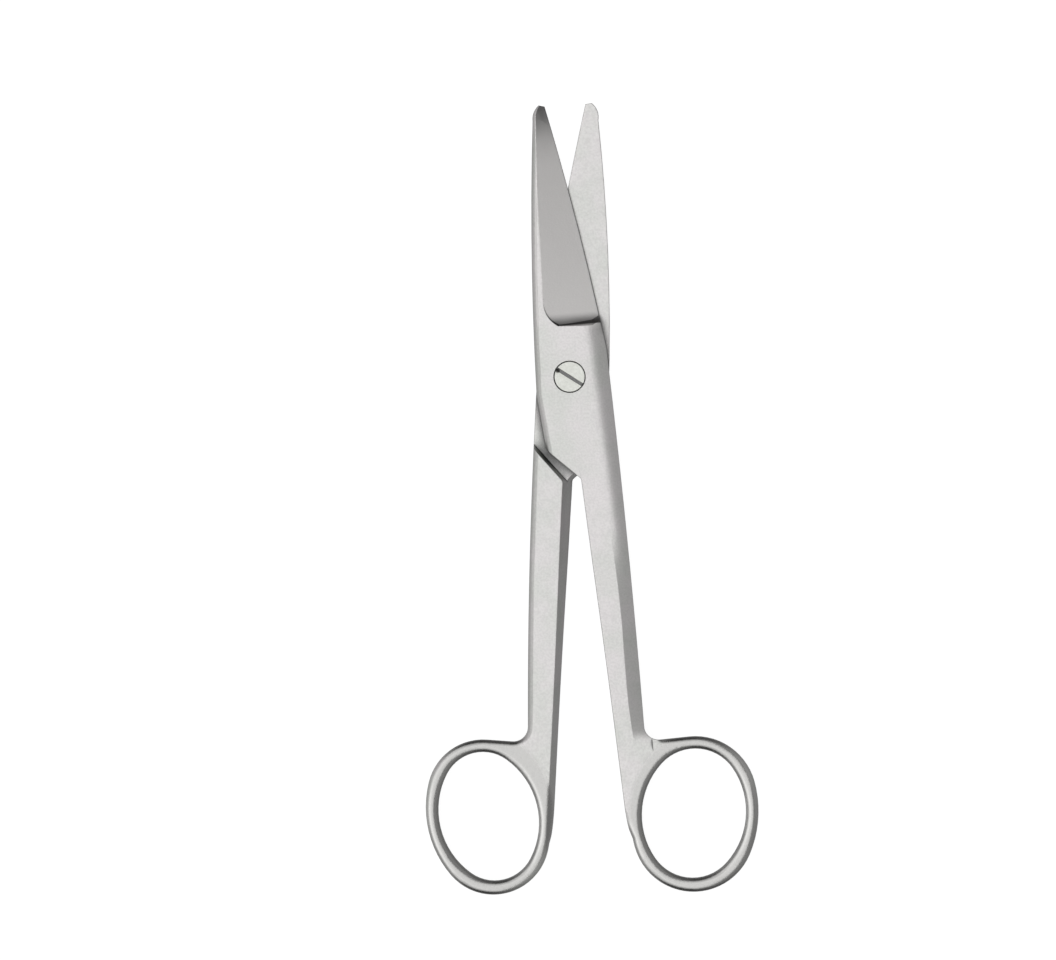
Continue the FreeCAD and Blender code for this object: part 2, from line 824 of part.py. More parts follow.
def drill_front(half):
    """Bore for the screw's body, with a sunk seat for its head in the outer face."""
    bore = new_sketch(half.body, half.label("bore_outline"), "XY_Plane")
    draw_circle(bore, half.shared("body_radius") + half.shared("body_gap"))
    pocket(half.body, half.label("bore"), bore, half.through())
    seat = new_sketch(half.body, half.label("seat_outline"), "XY_Plane", height=half.depth)
    draw_circle(seat, half.shared("head_radius") + half.shared("head_gap"))
    pocket(half.body, half.label("head_seat"), seat,
           half.shared("head_depth") + half.shared("head_seat_gap"), sides="One side")


def drill_rear(half):
    """Tapped hole that the screw's end fills."""
    tapped = new_sketch(half.body, half.label("tapped_outline"), "XY_Plane")
    draw_circle(tapped, half.shared("thread_radius"))
    pocket(half.body, half.label("tapped_hole"), tapped, half.through())


def build_half(document, sheet, side):
    """One forged half with its pivot hole, in its own closed frame."""
    half = Half(document, sheet, side)
    shape_shank_and_ring(half)
    shape_blade(half)
    shape_facet(half)
    grind_bevel(half, document)
    part_from_other(half)
    if side == FRONT:
        drill_front(half)
    else:
        drill_rear(half)
    return half.body


def place_half(sheet, body, side):
    """Opens the half from the closed pose; the rear one is turned over first."""
    depth = sheet.get("lap_thickness")
    if side == FRONT:
        turn = FreeCAD.Rotation(FreeCAD.Vector(0, 0, 1), sheet.get("front_opening"))
        base = FreeCAD.Vector(0, 0, depth + sheet.get("lap_gap"))
    else:
        turn = FreeCAD.Rotation(FreeCAD.Vector(0, 0, 1), -sheet.get("rear_opening"))
        turn = turn * FreeCAD.Rotation(FreeCAD.Vector(0, 1, 0), 180)
        base = FreeCAD.Vector(0, 0, depth)
    body.Placement = FreeCAD.Placement(base, turn)


def build_screw(document, sheet):
    """Shoulder screw: slotted flush head, plain body and the threaded end, its threads left plain."""
    def shared(name):
        return Size("{}.{}".format(SHEET, name), sheet.get(name))

    body = document.addObject("PartDesign::Body", "pivot_screw")
    body.Label = "pivot_screw"
    depth = shared("lap_thickness")
    top = depth * 2 + shared("lap_gap")
    under_head = top - shared("head_depth")
    rim = shared("head_chamfer")
    profile = new_sketch(body, "screw_profile", "XZ_Plane", [
        Corner(0, 0),
        Corner(0, top),
        Corner(shared("head_radius") - rim, top),
        Corner(shared("head_radius"), top - rim),
        Corner(shared("head_radius"), under_head),
        Corner(shared("body_radius"), under_head),
        Corner(shared("body_radius"), depth),
        Corner(shared("thread_radius"), depth),
        Corner(shared("thread_radius"), 0),
    ])
    turned = body.newObject("PartDesign::Revolution", "screw_turned")
    turned.Profile = profile
    turned.ReferenceAxis = (origin_plane(body, "Z_Axis"), [""])
    turned.Angle = 360
    finished(turned)

    half_width = shared("slot_width") / 2
    long_way = shared("head_radius") * OVERRUN
    along_x = cosine(shared("slot_turn"))
    along_y = sine(shared("slot_turn"))

    def turned_corner(along, across):
        return Corner(along_x * along - along_y * across, along_y * along + along_x * across)

    slot_outline = new_sketch(body, "slot_outline", "XY_Plane", [
        turned_corner(-long_way, -half_width),
        turned_corner(-long_way, half_width),
        turned_corner(long_way, half_width),
        turned_corner(long_way, -half_width),
    ], height=top)
    pocket(body, "slot", slot_outline, shared("slot_depth"), sides="One side")
    return body


def check_document(document):
    """Stops if any object has failed."""
    for item in document.Objects:
        if "Invalid" in item.State or "Error" in item.State:
            raise RuntimeError("{} has failed".format(item.Name))


def write_part(body):
    """Checks one finished sub-part and writes its file."""
    shape = body.Shape
    if shape.isNull() or not shape.isValid() or len(shape.Solids) != 1:
        raise RuntimeError("{} is not one sound solid".format(body.Label))
    shape.exportStep("parts/{}.step".format(body.Label))
    print("{}: {:.1f} mm3".format(body.Label, shape.Volume))


def main():
    """Builds the two halves and the screw, and writes each as its own solid."""
    document = FreeCAD.newDocument("dissecting_scissors")
    sheet = fill_sheet(document)
    bodies = []
    for side in (FRONT, REAR):
        body = build_half(document, sheet, side)
        place_half(sheet, body, side)
        bodies.append(body)
    bodies.append(build_screw(document, sheet))
    document.recompute()
    check_document(document)
    os.makedirs("parts", exist_ok=True)
    for body in bodies:
        write_part(body)


main()
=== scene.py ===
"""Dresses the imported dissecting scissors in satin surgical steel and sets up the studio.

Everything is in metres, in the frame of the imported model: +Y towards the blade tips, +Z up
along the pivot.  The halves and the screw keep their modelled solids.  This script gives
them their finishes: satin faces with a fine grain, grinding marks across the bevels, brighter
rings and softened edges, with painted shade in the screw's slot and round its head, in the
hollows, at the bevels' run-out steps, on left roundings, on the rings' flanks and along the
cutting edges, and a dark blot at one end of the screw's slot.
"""

import logging
import math
from dataclasses import dataclass
from enum import Enum
from functools import reduce
from typing import Any

import bpy
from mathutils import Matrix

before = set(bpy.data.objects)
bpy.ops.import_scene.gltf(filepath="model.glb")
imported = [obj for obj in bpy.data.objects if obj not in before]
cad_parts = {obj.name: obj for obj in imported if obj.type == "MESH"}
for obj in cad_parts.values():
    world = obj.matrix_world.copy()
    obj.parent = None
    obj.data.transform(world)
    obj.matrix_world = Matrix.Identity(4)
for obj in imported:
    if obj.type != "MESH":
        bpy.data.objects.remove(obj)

log = logging.getLogger("scissors")

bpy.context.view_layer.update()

Colour = tuple[float, float, float]
Band = tuple[float, float]
Point = tuple[float, float]
Stops = tuple[tuple[float, float], ...]
Node = bpy.types.ShaderNode
Socket = bpy.types.NodeSocket
Tree = bpy.types.ShaderNodeTree

WHITE: Colour = (1.0, 1.0, 1.0)
UPRIGHT = (0.0, 0.0, 1.0)


class Lay(Enum):
    """Which way a finish's fine marks run: how much each axis is drawn together."""

    BEADED = (1.0, 1.0, 1.0)
    ACROSS = (0.04, 1.0, 1.0)


@dataclass
class Wiring:
    """Adds nodes to one shader tree and joins them."""

    tree: Tree

    def add(self, kind: str, **settings: Any) -> Node:
        """Adds one node and sets its properties.

        Args:
            kind: Blender's name of the node's type.
            **settings: Properties of the node.

        Returns:
            The new node.
        """
        node = self.tree.nodes.new(kind)
        for name, value in settings.items():
            setattr(node, name, value)
        return node

    def join(self, source: Socket, target: Socket) -> None:
        """Links one socket to another."""
        self.tree.links.new(source, target)

    def feed(self, target: Socket, value: Socket | float) -> None:
        """Links a socket to the target, or sets a plain number on it.

        Args:
            target: The input to supply.
            value: Socket or number.
        """
        if isinstance(value, bpy.types.NodeSocket):
            self.join(value, target)
        else:
            target.default_value = value

    def maths(self, operation: str, first: Socket | float, second: Socket | float = 0.0) -> Socket:
        """One step of arithmetic.

        Args:
            operation: Blender's name of the operation.
            first: Socket or number.
            second: Socket or number.

        Returns:
            The result's socket.
        """
        node = self.add("ShaderNodeMath", operation=operation)
        self.feed(node.inputs[0], first)
        self.feed(node.inputs[1], second)
        return node.outputs[0]

    def product(self, *factors: Socket | float) -> Socket:
        """Several values multiplied together."""
        return reduce(lambda so_far, factor: self.maths("MULTIPLY", so_far, factor), factors)

    def rest(self, share: Socket) -> Socket:
        """What a share leaves of one."""
        return self.maths("SUBTRACT", 1.0, share)

    def distance(self, x: Socket, y: Socket) -> Socket:
        """How far a point in the plane is from its origin."""
        return self.maths("SQRT", self.maths("ADD", self.product(x, x), self.product(y, y)))

    def split(self, vector: Socket) -> tuple[Socket, Socket, Socket]:
        """Takes a vector apart.

        Args:
            vector: The vector.

        Returns:
            Its three parts.
        """
        node = self.add("ShaderNodeSeparateXYZ")
        self.join(vector, node.inputs[0])
        return node.outputs["X"], node.outputs["Y"], node.outputs["Z"]

    def ramp(self, value: Socket, band: Band, becomes: Band = (0.0, 1.0)) -> Socket:
        """Maps one range smoothly onto another.

        Args:
            value: The value to map.
            band: Start and end of its range.
            becomes: What the start and the end become.

        Returns:
            The mapped value's socket.
        """
        node = self.add("ShaderNodeMapRange", interpolation_type="SMOOTHSTEP")
        self.join(value, node.inputs["Value"])
        for name, number in zip(("From Min", "From Max", "To Min", "To Max"), (*band, *becomes)):
            node.inputs[name].default_value = number
        return node.outputs["Result"]

    def fall(self, value: Socket, band: Band) -> Socket:
        """1 before a band, 0 after it."""
        return self.ramp(value, band, (1.0, 0.0))

    def mix(self, share: Socket, first: Socket | Colour, second: Socket | Colour) -> Socket:
        """A colour between two others.

        Args:
            share: How much of the second colour there is.
            first: Colour where the share is 0.
            second: Colour where the share is 1.

        Returns:
            The mixed colour's socket.
        """
        node = self.add("ShaderNodeMix", data_type="RGBA")
        self.join(share, node.inputs[0])
        for target, colour in ((node.inputs[6], first), (node.inputs[7], second)):
            if isinstance(colour, bpy.types.NodeSocket):
                self.join(colour, target)
            else:
                target.default_value = (*colour, 1.0)
        return node.outputs[2]

    def dim(self, tone: Socket, share: Socket, left: float) -> Socket:
        """A colour with part of its light taken away.

        Args:
            tone: The colour.
            share: Where it is dimmed, 0 to 1.
            left: What is left of the colour there.

        Returns:
            The dimmed colour's socket.
        """
        node = self.add("ShaderNodeVectorMath", operation="SCALE")
        self.join(tone, node.inputs[0])
        self.join(self.rest(self.product(share, 1.0 - left)), node.inputs["Scale"])
        return node.outputs["Vector"]

    def noise(self, place: Socket, grain: float, detail: float, lay: Lay = Lay.BEADED) -> Socket:
        """Noise of a given grain.

        Args:
            place: Coordinates in metres.
            grain: Size of the noise's features in metres.
            detail: Octaves of finer noise on top.
            lay: Which way the features are drawn out.

        Returns:
            The noise's value, about 0.5 on average.
        """
        mapping = self.add("ShaderNodeMapping")
        self.join(place, mapping.inputs["Vector"])
        mapping.inputs["Scale"].default_value = lay.value
        node = self.add("ShaderNodeTexNoise")
        self.join(mapping.outputs["Vector"], node.inputs["Vector"])
        node.inputs["Scale"].default_value = 1.0 / grain
        node.inputs["Detail"].default_value = detail
        return node.outputs["Fac"]

    def bump(self, height: Socket, depth: float, normal: Socket) -> Socket:
        """Relief of a given depth on top of a normal.

        Args:
            height: The relief's height, 0 to 1.
            depth: What a height of 1 stands for, in metres.
            normal: The normal below the relief.

        Returns:
            The bumped normal's socket.
        """
        node = self.add("ShaderNodeBump")
        node.inputs["Strength"].default_value = 1.0
        node.inputs["Distance"].default_value = depth
        self.join(height, node.inputs["Height"])
        self.join(normal, node.inputs["Normal"])
        return node.outputs["Normal"]

    def lift(self, share: Socket, normal: Socket) -> Socket:
        """A normal turned upright by a share.

        Args:
            share: 0 leaves the normal, 1 turns it upright.
            normal: The normal to turn.

        Returns:
            The turned normal's socket.
        """
        node = self.add("ShaderNodeMix", data_type="VECTOR")
        self.join(share, node.inputs[0])
        self.join(normal, node.inputs[4])
        node.inputs[5].default_value = UPRIGHT
        unit = self.add("ShaderNodeVectorMath", operation="NORMALIZE")
        self.join(node.outputs[1], unit.inputs[0])
        return unit.outputs["Vector"]


@dataclass(frozen=True)
class ScrewShade:
    """Painted shade in the screw's slot and round its head, darkest to the upper right, and a dark
    blot at one end of the slot.
    """

    # The dark colour of the painted shade and of the blot.
    colour: Colour = (0.05, 0.048, 0.045)
    head_radius: float = 0.00345
    face_height: float = 0.00585
    shallow: float = 0.00006
    deep: float = 0.00022
    rim: Band = (0.88, 0.94)
    rim_share: Band = (0.2, 1.0)
    slot_share: float = 0.42
    speck: Point = (-0.00252, 0.00135)
    speck_radius: float = 0.0005
    speck_blur: float = 0.00022
    speck_share: float = 0.9
    top: Band = (0.5, 0.6)
    dullness: float = 0.3

    def share(self, wiring: Wiring, place: Socket) -> Socket:
        """How much painted shade or blot darkens the steel, from its place alone.

        Args:
            wiring: The material's tree.
            place: Coordinates in metres.

        Returns:
            0 on unshaded steel, 1 under full painted shade or blot.
        """
        x, y, z = wiring.split(place)
        reach = wiring.distance(x, y)
        near = wiring.fall(reach, (self.head_radius, self.head_radius + self.shallow))
        # Painted shade: darker deeper down in the slot and the gap round the head.
        sunk = wiring.fall(z, (self.face_height - self.deep, self.face_height - self.shallow))
        # Painted shade round the head's rim, darkest to the upper right, which faces away from the
        # light.
        upper_right = wiring.maths("ADD", x, y)
        round_head = wiring.ramp(upper_right, (-self.head_radius, self.head_radius), self.rim_share)
        start, end = self.rim
        rim = wiring.ramp(reach, (self.head_radius * start, self.head_radius * end))
        shade_level = wiring.maths("ADD", wiring.product(rim, round_head),
                            wiring.product(wiring.rest(rim), self.slot_share))
        in_gaps = wiring.product(near, sunk, shade_level)
        return wiring.maths("MAXIMUM", in_gaps, self.blot(wiring, x, y, z))

    def blot(self, wiring: Wiring, x: Socket, y: Socket, z: Socket) -> Socket:
        """The blot at the slot's upper left end.

        Args:
            wiring: The material's tree.
            x: Place across the scissors.
            y: Place along them.
            z: Height.

        Returns:
            How dark the blot is.
        """
        speck_x, speck_y = self.speck
        away = wiring.distance(wiring.maths("SUBTRACT", x, speck_x),
                               wiring.maths("SUBTRACT", y, speck_y))
        edge = (self.speck_radius - self.speck_blur, self.speck_radius + self.speck_blur)
        spot = wiring.ramp(away, edge, (self.speck_share, 0.0))
        start, end = self.top
        on_top = wiring.ramp(z, (self.face_height * start, self.face_height * end))
        return wiring.product(spot, on_top)


@dataclass(frozen=True)
class FingerRings:
    """The polished band round each finger hole.

    A hole is given by its centre, half its width and half its length.  The band's end is in
    shares of the hole's size, and the tilts are those of the softened surface.
    """

    holes: tuple[tuple[float, float, float, float], ...] = (
        (0.0264, -0.0937, 0.0111, 0.0141),
        (-0.0170, -0.0935, 0.0109, 0.0139),
    )
    band_end: Band = (1.18, 1.28)
    right_tilt: Band = (-0.15, 0.15)
    lengthwise_tilt: Band = (0.08, 0.3)
    # Painted shade: what is left of the ring's tone on its dim flanks.
    flank_shade_tone: float = 0.68

    def share(self, wiring: Wiring, x: Socket, y: Socket) -> Socket:
        """Where the rings are.

        Args:
            wiring: The material's tree.
            x: Place across the scissors.
            y: Place along them.

        Returns:
            1 on the rings, 0 elsewhere.
        """
        bands = []
        for centre_x, centre_y, half_width, half_length in self.holes:
            across = wiring.maths("DIVIDE", wiring.maths("SUBTRACT", x, centre_x), half_width)
            along = wiring.maths("DIVIDE", wiring.maths("SUBTRACT", y, centre_y), half_length)
            bands.append(wiring.fall(wiring.distance(across, along), self.band_end))
        return reduce(lambda first, second: wiring.maths("MAXIMUM", first, second), bands)

    def shaded_flanks(self, wiring: Wiring, across: Socket, lengthwise: Socket) -> Socket:
        """Where a ring turns away from the light and gets painted shade.

        Args:
            wiring: The material's tree.
            across: The surface's tilt to the right.
            lengthwise: Its tilt towards the tips.

        Returns:
            0 on the lit flank, 1 on the dim ones.
        """
        ends = wiring.ramp(wiring.maths("ABSOLUTE", lengthwise), self.lengthwise_tilt)
        return wiring.maths("MAXIMUM", wiring.ramp(across, self.right_tilt), ends)


@dataclass(frozen=True)
class GroundBevel:
    """The ground bevel of a blade, and the painted shade in the hollow of its run-out step.

    The step lies on a slanting line: place along = step_place + step_slope times place across.
    """

    not_level: Band = (0.975, 0.985)
    not_upright: Band = (0.90, 0.93)
    blade_start: Band = (0.0100, 0.0115)
    step_place: float = 0.01126
    step_slope: float = 0.085
    # Painted shade in the step's hollow: how far it reaches, where it starts, on which half, how far
    # left, and what is left of the tone.
    step_shade_reach: float = 0.0026
    step_shade_start: Band = (-0.0003, -0.0001)
    upper_half: Band = (0.00305, 0.0032)
    spine_end: Band = (-0.0066, -0.0056)
    step_shade_tone: float = 0.14

    def share(self, wiring: Wiring, y: Socket, up: Socket) -> Socket:
        """Where the bevel is: on the blade, and neither level nor upright.

        Args:
            wiring: The material's tree.
            y: Place along the scissors.
            up: The true surface's share of upright, without a sign.

        Returns:
            1 on the bevel, 0 elsewhere.
        """
        return wiring.product(wiring.fall(up, self.not_level), wiring.ramp(up, self.not_upright),
                              wiring.ramp(y, self.blade_start))

    def step_shade(self, wiring: Wiring, place: Socket, up: Socket) -> Socket:
        """Where the painted shade lies: darkest at the step and fading up the bevel.

        Args:
            wiring: The material's tree.
            place: Coordinates in metres.
            up: The true surface's share of upright, without a sign.

        Returns:
            1 under full painted shade, 0 elsewhere.
        """
        x, y, z = wiring.split(place)
        past = wiring.maths("SUBTRACT", wiring.maths(
            "SUBTRACT", y, wiring.product(x, self.step_slope)), self.step_place)
        return wiring.product(
            wiring.fall(past, (0.0, self.step_shade_reach)), wiring.ramp(past, self.step_shade_start),
            wiring.fall(up, self.not_level), wiring.ramp(z, self.upper_half),
            wiring.ramp(x, self.spine_end))


@dataclass(frozen=True)
class BroadFacet:
    """Where the front shank's broad facet eases into the level faces beside it.

    Its inner edge lies where place across + slope times place along = edge_place.
    """

    slope: float = 0.1417
    edge_place: float = 0.003738
    ease: Band = (0.0, 0.0034)
    before_edge: Band = (-0.003, -0.001)
    shank: Band = (-0.050, -0.030)
    lap_end: Band = (0.0105, 0.0115)
    nearly_level: Band = (0.85, 0.95)
    web_left: Band = (0.0120, 0.0150)
    web_right: Band = (0.0182, 0.0200)
    web_top: Band = (-0.0785, -0.0750)
    web_bottom: Band = (-0.0812, -0.0804)
    facing_up: Band = (0.1, 0.3)

    def share(self, wiring: Wiring, place: Socket, up: Socket) -> Socket:
        """How far the surface is turned upright: at the facet's start and at its run-out.

        Args:
            wiring: The material's tree.
            place: Coordinates in metres.
            up: The true surface's share of upright.

        Returns:
            1 where the surface is wholly upright, 0 elsewhere.
        """
        x, y, _ = wiring.split(place)
        side = wiring.maths("SUBTRACT", wiring.maths(
            "ADD", x, wiring.product(y, self.slope)), self.edge_place)
        start = wiring.product(
            wiring.fall(side, self.ease), wiring.ramp(side, self.before_edge),
            wiring.ramp(y, self.shank), wiring.fall(y, self.lap_end),
            wiring.ramp(up, self.nearly_level))
        run_out = wiring.product(
            wiring.ramp(x, self.web_left), wiring.fall(x, self.web_right),
            wiring.fall(y, self.web_top), wiring.ramp(y, self.web_bottom),
            wiring.ramp(up, self.facing_up))
        return wiring.maths("MAXIMUM", start, run_out)


@dataclass(frozen=True)
class SoftEdges:
    """How widely the edges are rounded, and where painted shade darkens the rounding and the cutting
    edges.
    """

    plain: float = 0.0003
    rings: float = 0.0009
    seat: float = 0.00012
    seat_reach: Band = (0.0038, 0.0050)
    # Painted shade on roundings that lean to the left: where, how steep, and what is left of the
    # tone.
    left_tilt: Band = (-0.25, -0.02)
    steep_tilt: Band = (-0.8, -0.3)
    steep_share: float = 0.3
    left_shade_tone: float = 0.6
    # Painted shade along the cutting edges: the tilt, where the blades start, and what is left of
    # the tone.
    cutting_tilt: Band = (0.31, 0.46)
    blade_start: Band = (0.008, 0.012)
    cutting_shade_tone: float = 0.3

    def normal(self, wiring: Wiring, place: Socket, polished: Socket) -> Socket:
        """The softened normal: wide on the rings, fine at the screw's seat.

        Args:
            wiring: The material's tree.
            place: Coordinates in metres.
            polished: Where the rings are.

        Returns:
            The normal's socket.
        """
        x, y, _ = wiring.split(place)
        radius = wiring.ramp(polished, (0.0, 1.0), (self.plain, self.rings))
        narrowed = wiring.ramp(wiring.distance(x, y), self.seat_reach, (self.seat / self.plain, 1.0))
        node = wiring.add("ShaderNodeBevel", samples=8)
        wiring.join(wiring.product(radius, narrowed), node.inputs["Radius"])
        return node.outputs["Normal"]

    def turned(self, wiring: Wiring, normal: Socket) -> tuple[Socket, Socket, Socket]:
        """Turns a normal into the piece's own frame.

        Args:
            wiring: The material's tree.
            normal: The normal.

        Returns:
            Its three parts: across, lengthwise and up.
        """
        node = wiring.add("ShaderNodeVectorTransform", vector_type="NORMAL",
                          convert_from="WORLD", convert_to="OBJECT")
        wiring.join(normal, node.inputs[0])
        return wiring.split(node.outputs[0])

    def left_shade_share(self, wiring: Wiring, across: Socket) -> Socket:
        """Where a rounding leans to the left and gets painted shade.

        Args:
            wiring: The material's tree.
            across: The softened surface's tilt to the right.

        Returns:
            1 on a gentle lean to the left, less on a steep one, 0 elsewhere.
        """
        steep = wiring.ramp(across, self.steep_tilt, (self.steep_share, 1.0))
        return wiring.product(wiring.fall(across, self.left_tilt), steep)

    def cutting_shade_share(self, wiring: Wiring, across: Socket, y: Socket) -> Socket:
        """Where a cutting edge or the right side of a blade is, which gets painted shade."""
        return wiring.product(wiring.ramp(across, self.cutting_tilt),
                              wiring.ramp(y, self.blade_start))


@dataclass(frozen=True)
class SteelFinish:
    """Satin steel whose edges are softened, with painted shade in its hollows, at the bevel's
    run-out step, on left roundings, ring flanks and cutting edges, and round the screw.
    """

    name: str
    light: Colour
    dark: Colour
    ring_tone: Colour
    ground_tone: Colour
    roughness: float
    ring_roughness: float
    roughness_spread: float = 0.07
    roughness_noise: Band = (0.25, 0.75)
    tone_noise: Band = (0.3, 0.7)
    cloud: float = 0.009
    cloud_detail: float = 3.0
    grain: float = 0.00045
    grain_detail: float = 2.0
    grain_depth: float = 0.00002
    grain_tone: float = 0.93
    mark_grain: float = 0.00024
    mark_detail: float = 3.0
    mark_depth: float = 0.000013
    # Painted shade in hollows: the reach of the openness test, what is left of the dark tone there,
    # and the openness over which it fades.
    hollow_reach: float = 0.0025
    hollow_shade_tone: float = 0.15
    hollow: Band = (0.42, 0.95)
    edges: SoftEdges = SoftEdges()
    screw_shade: ScrewShade = ScrewShade()
    rings: FingerRings = FingerRings()
    bevel: GroundBevel = GroundBevel()
    facet: BroadFacet = BroadFacet()

    def material(self) -> bpy.types.Material:
        """Builds the finish as a material.

        Returns:
            The new material.
        """
        material = bpy.data.materials.new(self.name)
        material.use_nodes = True
        wiring = Wiring(material.node_tree)
        shader = material.node_tree.nodes["Principled BSDF"]
        shader.inputs["Metallic"].default_value = 1.0
        coordinates = wiring.add("ShaderNodeTexCoord")
        place = coordinates.outputs["Object"]
        x, y, _ = wiring.split(place)
        up = wiring.split(coordinates.outputs["Normal"])[2]
        steep = wiring.maths("ABSOLUTE", up)
        polished = self.rings.share(wiring, x, y)
        screw_shaded = self.screw_shade.share(wiring, place)
        on_bevel = self.bevel.share(wiring, y, steep)
        softened = self.edges.normal(wiring, place, polished)
        fine = wiring.noise(place, self.grain, self.grain_detail)

        tone = self.clean_tone(wiring, place, fine, polished, on_bevel)
        tone = self.shaded(wiring, tone, softened, polished, y)
        # Painted shade in the hollow of the run-out step.
        tone = wiring.dim(tone, self.bevel.step_shade(wiring, place, steep), self.bevel.step_shade_tone)
        # Painted shade in hollows: darker where the steel is less open.
        tone = wiring.mix(self.hollows(wiring), (self.hollow_shade_tone * self.dark[0],) * 3, tone)
        # Painted shade in the screw's slot and round its head, and the dark blot.
        tone = wiring.mix(screw_shaded, tone, self.screw_shade.colour)
        wiring.join(tone, shader.inputs["Base Color"])

        level = self.dullness(wiring, fine, polished)
        screw_shade_roughness = wiring.product(screw_shaded, self.screw_shade.dullness)
        wiring.join(wiring.maths("ADD", level, screw_shade_roughness), shader.inputs["Roughness"])
        eased = wiring.lift(self.facet.share(wiring, place, up), softened)
        relief = self.relief(wiring, place, fine, on_bevel, eased)
        wiring.join(relief, shader.inputs["Normal"])
        return material

    def clean_tone(self, wiring: Wiring, place: Socket, fine: Socket, polished: Socket,
                   on_bevel: Socket) -> Socket:
        """The clean steel's colour: clouded and grained, with its own tone on rings and bevel.

        Args:
            wiring: The material's tree.
            place: Coordinates in metres.
            fine: The grain's noise.
            polished: Where the rings are.
            on_bevel: Where the ground bevel is.

        Returns:
            The colour's socket.
        """
        clouds = wiring.noise(place, self.cloud, self.cloud_detail)
        tone = wiring.mix(wiring.ramp(clouds, self.tone_noise), self.dark, self.light)
        tone = wiring.dim(tone, wiring.ramp(fine, self.tone_noise), self.grain_tone)
        tone = wiring.mix(polished, tone, self.ring_tone)
        return wiring.mix(on_bevel, tone, self.ground_tone)

    def shaded(self, wiring: Wiring, tone: Socket, softened: Socket, polished: Socket,
               y: Socket) -> Socket:
        """Painted shade: darker left roundings, dimmer flanks of the rings and a dark cutting edge.

        Args:
            wiring: The material's tree.
            tone: The steel's colour.
            softened: The softened normal.
            polished: Where the rings are.
            y: Place along the scissors.

        Returns:
            The colour's socket.
        """
        across, lengthwise, _ = self.edges.turned(wiring, softened)
        # Painted shade on roundings that lean to the left, off the rings.
        left = wiring.product(self.edges.left_shade_share(wiring, across), wiring.rest(polished))
        tone = wiring.dim(tone, left, self.edges.left_shade_tone)
        # Painted shade on the rings' dim flanks.
        shaded_flanks = wiring.product(self.rings.shaded_flanks(wiring, across, lengthwise), polished)
        tone = wiring.dim(tone, shaded_flanks, self.rings.flank_shade_tone)
        # Painted shade along cutting edges and the blades' right sides.
        cutting_shade = self.edges.cutting_shade_share(wiring, across, y)
        return wiring.dim(tone, cutting_shade, self.edges.cutting_shade_tone)

    def hollows(self, wiring: Wiring) -> Socket:
        """How open a place is.

        Args:
            wiring: The material's tree.

        Returns:
            0 deep in a corner, 1 on a free face.
        """
        node = wiring.add("ShaderNodeAmbientOcclusion", samples=8)
        node.inputs["Distance"].default_value = self.hollow_reach
        return wiring.ramp(node.outputs["AO"], self.hollow)

    def dullness(self, wiring: Wiring, fine: Socket, polished: Socket) -> Socket:
        """The clean steel's roughness, a little uneven and lower on the rings.

        Args:
            wiring: The material's tree.
            fine: The grain's noise.
            polished: Where the rings are.

        Returns:
            The roughness's socket.
        """
        half_spread = self.roughness_spread / 2
        uneven = wiring.ramp(fine, self.roughness_noise, (-half_spread, half_spread))
        level = wiring.ramp(polished, (0.0, 1.0), (self.roughness, self.ring_roughness))
        return wiring.maths("ADD", level, uneven)

    def relief(self, wiring: Wiring, place: Socket, fine: Socket, on_bevel: Socket,
               eased: Socket) -> Socket:
        """The blasted grain and the bevel's grinding marks.

        Args:
            wiring: The material's tree.
            place: Coordinates in metres.
            fine: The grain's noise.
            on_bevel: Where the ground bevel is.
            eased: The normal below them.

        Returns:
            The finished normal's socket.
        """
        grained = wiring.bump(fine, self.grain_depth, eased)
        marks = wiring.noise(place, self.mark_grain, self.mark_detail, Lay.ACROSS)
        return wiring.bump(wiring.product(marks, on_bevel), self.mark_depth, grained)


FORGED_FINISH = SteelFinish(
    name="satin_forged_steel",
    light=(0.845, 0.82, 0.82),
    dark=(0.77, 0.78, 0.75),
    ring_tone=(0.70, 0.695, 0.68),
    ground_tone=(1.0, 0.98, 0.965),
    roughness=0.42,
    ring_roughness=0.24,
)
SCREW_FINISH = SteelFinish(
    name="turned_screw_steel",
    light=(0.84, 0.85, 0.80),
    dark=(0.78, 0.79, 0.74),
    ring_tone=(0.78, 0.79, 0.74),
    ground_tone=(0.84, 0.85, 0.80),
    roughness=0.38,
    ring_roughness=0.38,
    cloud=0.002,
    edges=SoftEdges(plain=0.00015),
    hollow_shade_tone=0.7,
)


@dataclass
class SteelPiece:
    """One of the scissors' pieces, which keeps its modelled solid."""

    node: str
    slot: str
    finish: SteelFinish

    def dress(self) -> None:
        """Gives the piece its finish."""
        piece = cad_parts[self.node]
        piece.data.materials.clear()
        piece.data.materials.append(self.finish.material())
        log.info("dressed %s", self.node)


